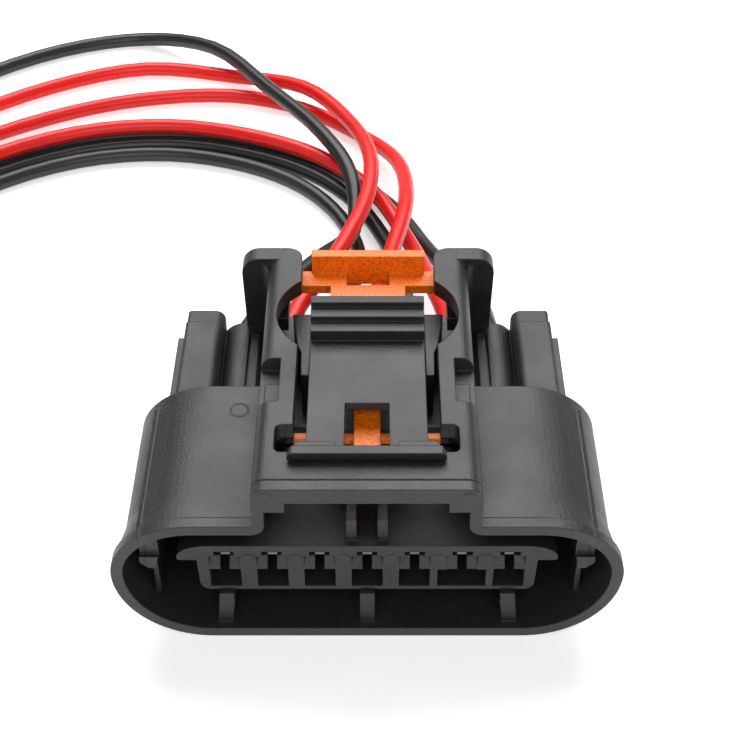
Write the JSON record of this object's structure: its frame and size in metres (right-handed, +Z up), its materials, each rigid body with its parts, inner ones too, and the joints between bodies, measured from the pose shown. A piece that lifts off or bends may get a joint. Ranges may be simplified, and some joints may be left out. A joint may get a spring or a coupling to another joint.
{
  "type": "sealed automotive connector",
  "caption": "Sealed in-line wire connector with an oval mating shroud, a rocking latch lever, an orange lock slide, a front block and a pigtail of cut wires.",
  "frame": {"origin": "middle of the footprint of the connector without its wires, on the surface it stands on", "axes": "+X across the row of ways, +Y from the mating mouth to the wires, +Z up through the latch lever"},
  "size_m": [0.0851, 0.1024, 0.0212],
  "materials": {
    "housing_plastic": "fine moulded grain, black",
    "block_plastic": "satin black",
    "lever_plastic": "fine moulded grain, black",
    "lock_plastic": "satin orange",
    "seal_rubber": "soft black silicone",
    "plug_rubber": "soft dark grey silicone",
    "terminal_tin": "tin-plated copper alloy",
    "wire_red": "satin red insulation",
    "wire_black": "satin black insulation"
  },
  "bodies": {
    "connector": {"housing": "housing_plastic", "ring_seal": "seal_rubber", "wire_seal_1": "plug_rubber", "wire_seal_2": "plug_rubber", "wire_seal_3": "plug_rubber", "wire_seal_4": "plug_rubber", "wire_seal_5": "plug_rubber", "wire_seal_6": "plug_rubber", "wire_seal_7": "plug_rubber", "terminal_1": "terminal_tin", "terminal_2": "terminal_tin", "terminal_3": "terminal_tin", "terminal_4": "terminal_tin", "terminal_5": "terminal_tin", "terminal_6": "terminal_tin", "terminal_7": "terminal_tin", "wire_1": "wire_black", "wire_2": "wire_red", "wire_3": "wire_black", "wire_4": "wire_red", "wire_5": "wire_black", "wire_6": "wire_red", "wire_7": "wire_black"},
    "front_block": {"front_block": "block_plastic"},
    "latch_lever": {"latch_lever": "lever_plastic"},
    "lock_slide": {"lock_slide": "lock_plastic"}
  },
  "joints": [
    {"name": "lever_rock", "type": "hinge", "parent": "connector", "child": "latch_lever", "pos_m": [0, -0.0031, 0.0128], "axis": [-1, 0, 0], "range_deg": [0, 7.5], "stiffness_Nm_per_rad": 0.3},
    {"name": "lock_slide", "type": "slide", "parent": "connector", "child": "lock_slide", "axis": [0, -1, 0], "range_m": [0, 0.003]},
    {"name": "front_block_slide", "type": "slide", "parent": "connector", "child": "front_block", "axis": [0, -1, 0], "range_m": [0, 0.001]}
  ]
}
